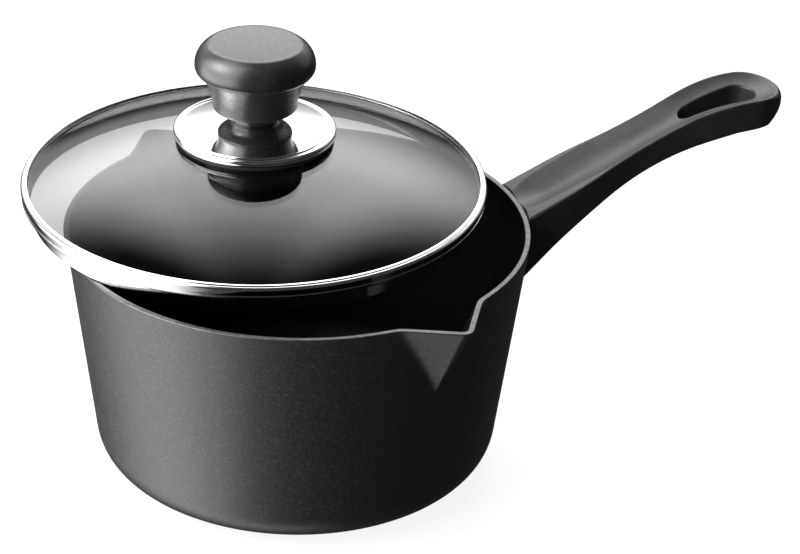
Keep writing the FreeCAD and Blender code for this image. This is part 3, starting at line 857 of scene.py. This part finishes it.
def make_lid():
    lid_piece(
        "glass_dome",
        [
            (GLASS_HOLE, glass_height(GLASS_HOLE, GLASS_HOLLOW), -GLASS_HOLLOW),
            (GLASS_RADIUS, glass_height(GLASS_RADIUS, GLASS_HOLLOW), 0, 0.5),
            (GLASS_RADIUS, glass_height(GLASS_RADIUS, GLASS_CURVE), GLASS_CURVE, 0.5),
            (GLASS_HOLE, glass_height(GLASS_HOLE, GLASS_CURVE)),
        ],
        GLASS,
        "lid_glass",
    )
    lid_piece(
        "rim_band",
        [
            (89.6, 0),
            (90.3, 0),
            (90.3, 6, 0, 0.3),
            (92.9, 6, 1.02, 0.1),
            (93.6, 6.7, 0, 0.15),
            (93.64, 7.6, 0, 0.08),
            (93.25, 7.75, 0, 0.05),
            (93.25, 7.9, 0, 0.05),
            (93.68, 8.05, 0, 0.08),
            (93.9, 10.4, 1.2, 0.1),
            (93.1, 11.4, 0, 0.1),
            (92.85, 10.8, 0, 0.06),
            (92.65, 10.8, 0, 0.06),
            (92.3, 11.8, 0, 0.15),
            (91.3, 11.9, 0, 0.25),
            (91.3, 11.0),
            (92.2, 10.5),
            (92.9, 10.3),
            (92.9, 6.7),
            (89.6, 6.7),
        ],
        CHROME,
        "lid_rim_band",
    )
    lid_piece(
        "edge_seal",
        [(92, 6.8), (92.8, 6.8), (92.8, 10.3), (92, 10.3)],
        SILICONE,
        "glass_edge_seal",
    )
    lid_piece(
        "knob_plate",
        [
            (3, 36.9),
            (9.2, 36.9, -160),
            (29.5, 33.3),
            (31.6, 32.7),
            (31.6, 31.6),
            (32.4, 31.6, 0, 0.2),
            (32.6, 32.2, 0, 0.15),
            (32.3, 32.5, 0, 0.1),
            (32.6, 32.8, 0, 0.15),
            (32.6, 33.4, 1, 0.1),
            (31.7, 34.4, 0, 0.3),
            (31.2, 34.4, 0, 0.2),
            (30.7, 33.2, 0, 0.1),
            (30.1, 33.2, 0, 0.1),
            (29.5, 34.35, 160, 0.15),
            (9.6, 37.9),
            (3, 37.9),
        ],
        CHROME,
        "knob_disc",
    )
    lid_piece(
        "knob",
        [
            (4.5, 37.95),
            (9.2, 37.95),
            (9.2, 39.4, -5),
            (12.6, 42.2, 0, 0.6),
            (15.7, 42.8, 1.6, 0.3),
            (16.9, 43.9, -34, 0.4),
            (21.3, 57.7, 3.8, 0.12),
            (24.1, 61.4, 9.3, 0.4),
            (18.1, 70.4, -260, 0.9),
            (2, 69.9, 0, 0.3),
            (0, 69.9, 0, 0),
            (0, 51.3, 0, 0),
            (4.5, 51.3),
        ],
        KNOB,
        "knob_head",
        soft=0.25,
    )
    lid_piece(
        "boss_cap",
        [
            (2.8, 18.7),
            (7, 18.7),
            (7, 13.1, 0, 0.5),
            (18.5, 13.1, 1.2, 0.3),
            (19.5, 14, 0, 0.3),
            (19.5, 17.7),
            (19, 18),
            (19, 18.4),
            (19.5, 18.7),
            (19.5, 21.5),
            (19, 21.8),
            (19, 22.2),
            (19.5, 22.5),
            (19.5, 26.4),
            (18.9, 26.8),
            (2.8, 26.8),
        ],
        BOSS,
        "underside_boss",
    )


def dress_cad(node, material):
    """Give its finished material to a CAD part that no piece here replaces."""
    mesh = nodes[node].data
    mesh.materials.clear()
    mesh.materials.append(material)


# ---------------------------------------------------------------- light and floor


def direction(azimuth, rise):
    return Vector(
        (math.cos(azimuth) * math.cos(rise), math.sin(azimuth) * math.cos(rise), math.sin(rise))
    )


# Each glow: azimuth, half width and softness; low edge and softness; high edge and softness;
# brightness. All but the brightness are in degrees.
GLOWS = (
    ((180, 40, 10), (-22, 8), (70, 12), 4.2),
    ((178, 32, 28), (-66, 10), (-16, 8), 2.8),
    ((75, 33, 13), (22, 14), (65, 17), 3.4),
    ((75, 70, 15), (4, 5), (40, 20), 0.6),
    ((205, 70, 30), (-95, 1), (-70, 12), 1.5),
)
AMBIENT = 0.05
WHITE = (1, 1, 1, 1)
KEY_WAY = direction(math.radians(172), math.radians(40))
KEY_DISTANCE = 1.5
KEY_AIM = Vector((0, 0, 0.08))
KEY_SIZE = 0.7
KEY_POWER = 10
FLOOR_HALF = 2
FLOOR_DROP = 0.0002
FLOOR_GLOW = 0.88
FLOOR_GRAIN = 300


def light_world():
    """A studio that is plain white to the camera.

    As light it glows from the left, from behind and from below, and is dark in front and above.
    """
    world = bpy.data.worlds.new("studio")
    bpy.context.scene.world = world
    world.use_nodes = True
    tree = world.node_tree
    toward = tree.nodes.new("ShaderNodeTexCoord").outputs["Generated"]

    def maths(operation, first, second=None):
        node = tree.nodes.new("ShaderNodeMath")
        node.operation = operation
        for slot, value in enumerate((first, second)):
            if isinstance(value, (int, float)):
                node.inputs[slot].default_value = value
            elif value is not None:
                tree.links.new(value, node.inputs[slot])
        return node.outputs["Value"]

    def along(way):
        node = tree.nodes.new("ShaderNodeVectorMath")
        node.operation = "DOT_PRODUCT"
        node.inputs[1].default_value = way
        tree.links.new(toward, node.inputs[0])
        return node.outputs["Value"]

    def edge(turn, middle, soft, start, end):
        """A soft change from start to end about an angle in degrees; the turn is in radians."""
        node = tree.nodes.new("ShaderNodeMapRange")
        node.interpolation_type = "SMOOTHSTEP"
        for socket, value in (("From Min", middle - soft), ("From Max", middle + soft)):
            node.inputs[socket].default_value = math.radians(value)
        node.inputs["To Min"].default_value, node.inputs["To Max"].default_value = start, end
        tree.links.new(turn, node.inputs["Value"])
        return node.outputs["Result"]

    rise = maths("ARCSINE", along((0, 0, 1)))
    total = AMBIENT
    for (azimuth, half_width, side_soft), low, high, level in GLOWS:
        ahead = direction(math.radians(azimuth), 0)
        turn = maths("ABSOLUTE", maths("ARCTAN2", along((-ahead.y, ahead.x, 0)), along(ahead)))
        band = maths("MULTIPLY", edge(rise, *low, 0, 1), edge(rise, *high, 1, 0))
        shape = maths("MULTIPLY", edge(turn, half_width, side_soft, 1, 0), band)
        total = maths("ADD", maths("MULTIPLY", shape, level), total)
    lit = tree.nodes["Background"]
    tree.links.new(total, lit.inputs["Strength"])
    lit.inputs["Color"].default_value = WHITE
    plain = tree.nodes.new("ShaderNodeBackground")
    plain.inputs["Color"].default_value = WHITE
    mix = tree.nodes.new("ShaderNodeMixShader")
    seen = tree.nodes.new("ShaderNodeLightPath").outputs["Is Camera Ray"]
    tree.links.new(seen, mix.inputs[0])
    tree.links.new(lit.outputs[0], mix.inputs[1])
    tree.links.new(plain.outputs[0], mix.inputs[2])
    tree.links.new(mix.outputs[0], tree.nodes["World Output"].inputs["Surface"])


def add_key_light():
    light = add_object("key_light", bpy.data.lights.new("key_light", "AREA"))
    light.data.shape = "RECTANGLE"
    light.data.size = light.data.size_y = KEY_SIZE
    light.data.energy = KEY_POWER
    light.location = KEY_WAY * KEY_DISTANCE
    light.rotation_euler = (KEY_AIM - light.location).to_track_quat("-Z", "Y").to_euler()


def add_floor():
    """A pale floor that glows to the eye and is left out of scattered and mirrored light."""
    glow = {"Emission_Color": WHITE, "Emission_Strength": FLOOR_GLOW}
    look = Look("floor", Roughness=0.6, Specular_IOR_Level=0.2, **glow)
    look.colour_by(look.noise(FLOOR_GRAIN), [(NOISE_LOW, grey(0.19)), (NOISE_HIGH, grey(0.21))])
    mesh = bpy.data.meshes.new("floor")
    signs = ((-1, -1), (1, -1), (1, 1), (-1, 1))
    mesh.from_pydata([(x * FLOOR_HALF, y * FLOOR_HALF, 0) for x, y in signs], [], [range(4)])
    mesh.materials.append(look.material)
    floor = add_object("floor", mesh)
    floor.location.z = -FLOOR_DROP
    floor.visible_diffuse = False
    floor.visible_glossy = False


# ---------------------------------------------------------------- whole

add_camera()
make_pan()
make_grip()
make_lid()
for node_name, finish in (
    ("handle_spring_lock", ZINC),
    ("disc_gasket", SILICONE),
    ("boss_gasket", SILICONE),
    ("knob_insert", BRASS),
    ("knob_screw", ZINC),
    ("screw_washer", ZINC),
    ("screw_lock_washer", ZINC),
):
    dress_cad(node_name, finish)
light_world()
add_key_light()
add_floor()
bpy.context.scene.view_settings.view_transform = "Standard"
